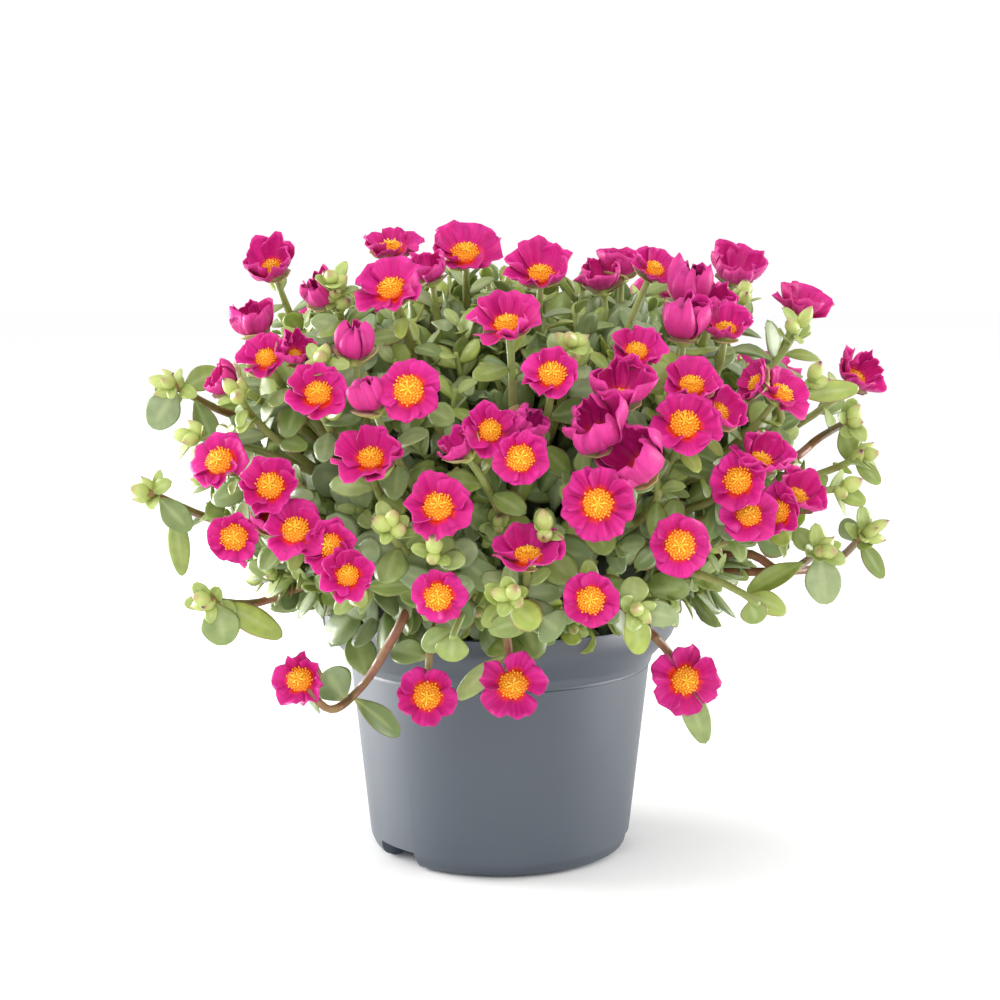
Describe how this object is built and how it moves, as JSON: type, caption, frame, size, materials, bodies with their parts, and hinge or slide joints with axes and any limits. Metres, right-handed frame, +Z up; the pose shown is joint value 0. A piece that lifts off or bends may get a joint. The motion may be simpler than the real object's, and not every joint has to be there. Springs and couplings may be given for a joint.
{
  "type": "potted portulaca plant",
  "caption": "Round mound of fleshy leafy stems with notched cup-shaped blooms and pointed buds, rooted in soil in a round tapered plastic nursery pot with a flared rim.",
  "frame": {"origin": "on the ground under the middle of the pot, which is also the middle of the plant", "axes": "+Z up the pot's axis, -Y towards the front of the plant, +X to the right as seen from the front"},
  "size_m": [0.3083, 0.3258, 0.2681],
  "materials": {
    "pot": "blue-grey matte moulded nursery-pot plastic",
    "soil": "dark moist peat potting soil",
    "foliage": "waxy fleshy green leaves and buds on red-brown stems",
    "petals": "thin satiny magenta petals round a yellow-orange eye"
  },
  "bodies": {
    "root": {"pot": "pot", "soil": "soil", "clump_1": "foliage", "clump_2": "foliage", "clump_3": "foliage", "clump_4": "foliage", "clump_5": "foliage", "clump_6": "foliage", "clump_7": "foliage", "clump_8": "foliage", "clump_9": "foliage", "clump_10": "foliage", "bloom_01": "petals", "bloom_02": "petals", "bloom_03": "petals", "bloom_04": "petals", "bloom_05": "petals", "bloom_06": "petals", "bloom_07": "petals", "bloom_09": "petals", "bloom_10": "petals", "bloom_11": "petals", "bloom_14": "petals", "bloom_15": "petals", "bloom_16": "petals", "bloom_18": "petals", "bloom_19": "petals", "bloom_22": "petals", "bloom_23": "petals", "bloom_24": "petals", "bloom_29": "petals", "bloom_31": "petals", "bloom_32": "petals", "bloom_35": "petals", "bloom_39": "petals", "bloom_40": "petals", "bloom_41": "petals", "bloom_42": "petals", "bloom_47": "petals", "bloom_48": "petals", "bloom_49": "petals", "bloom_50": "petals", "bloom_51": "petals", "bloom_52": "petals", "bloom_57": "petals", "bloom_58": "petals", "bloom_59": "petals", "bloom_60": "petals", "bloom_64": "petals", "bloom_66": "petals", "bloom_68": "petals", "bloom_70": "petals", "bloom_72": "petals", "bloom_74": "petals", "bloom_76": "petals", "bloom_78": "petals", "bloom_80": "petals", "bloom_82": "petals", "bloom_84": "petals", "bloom_86": "petals"}
  },
  "joints": []
}
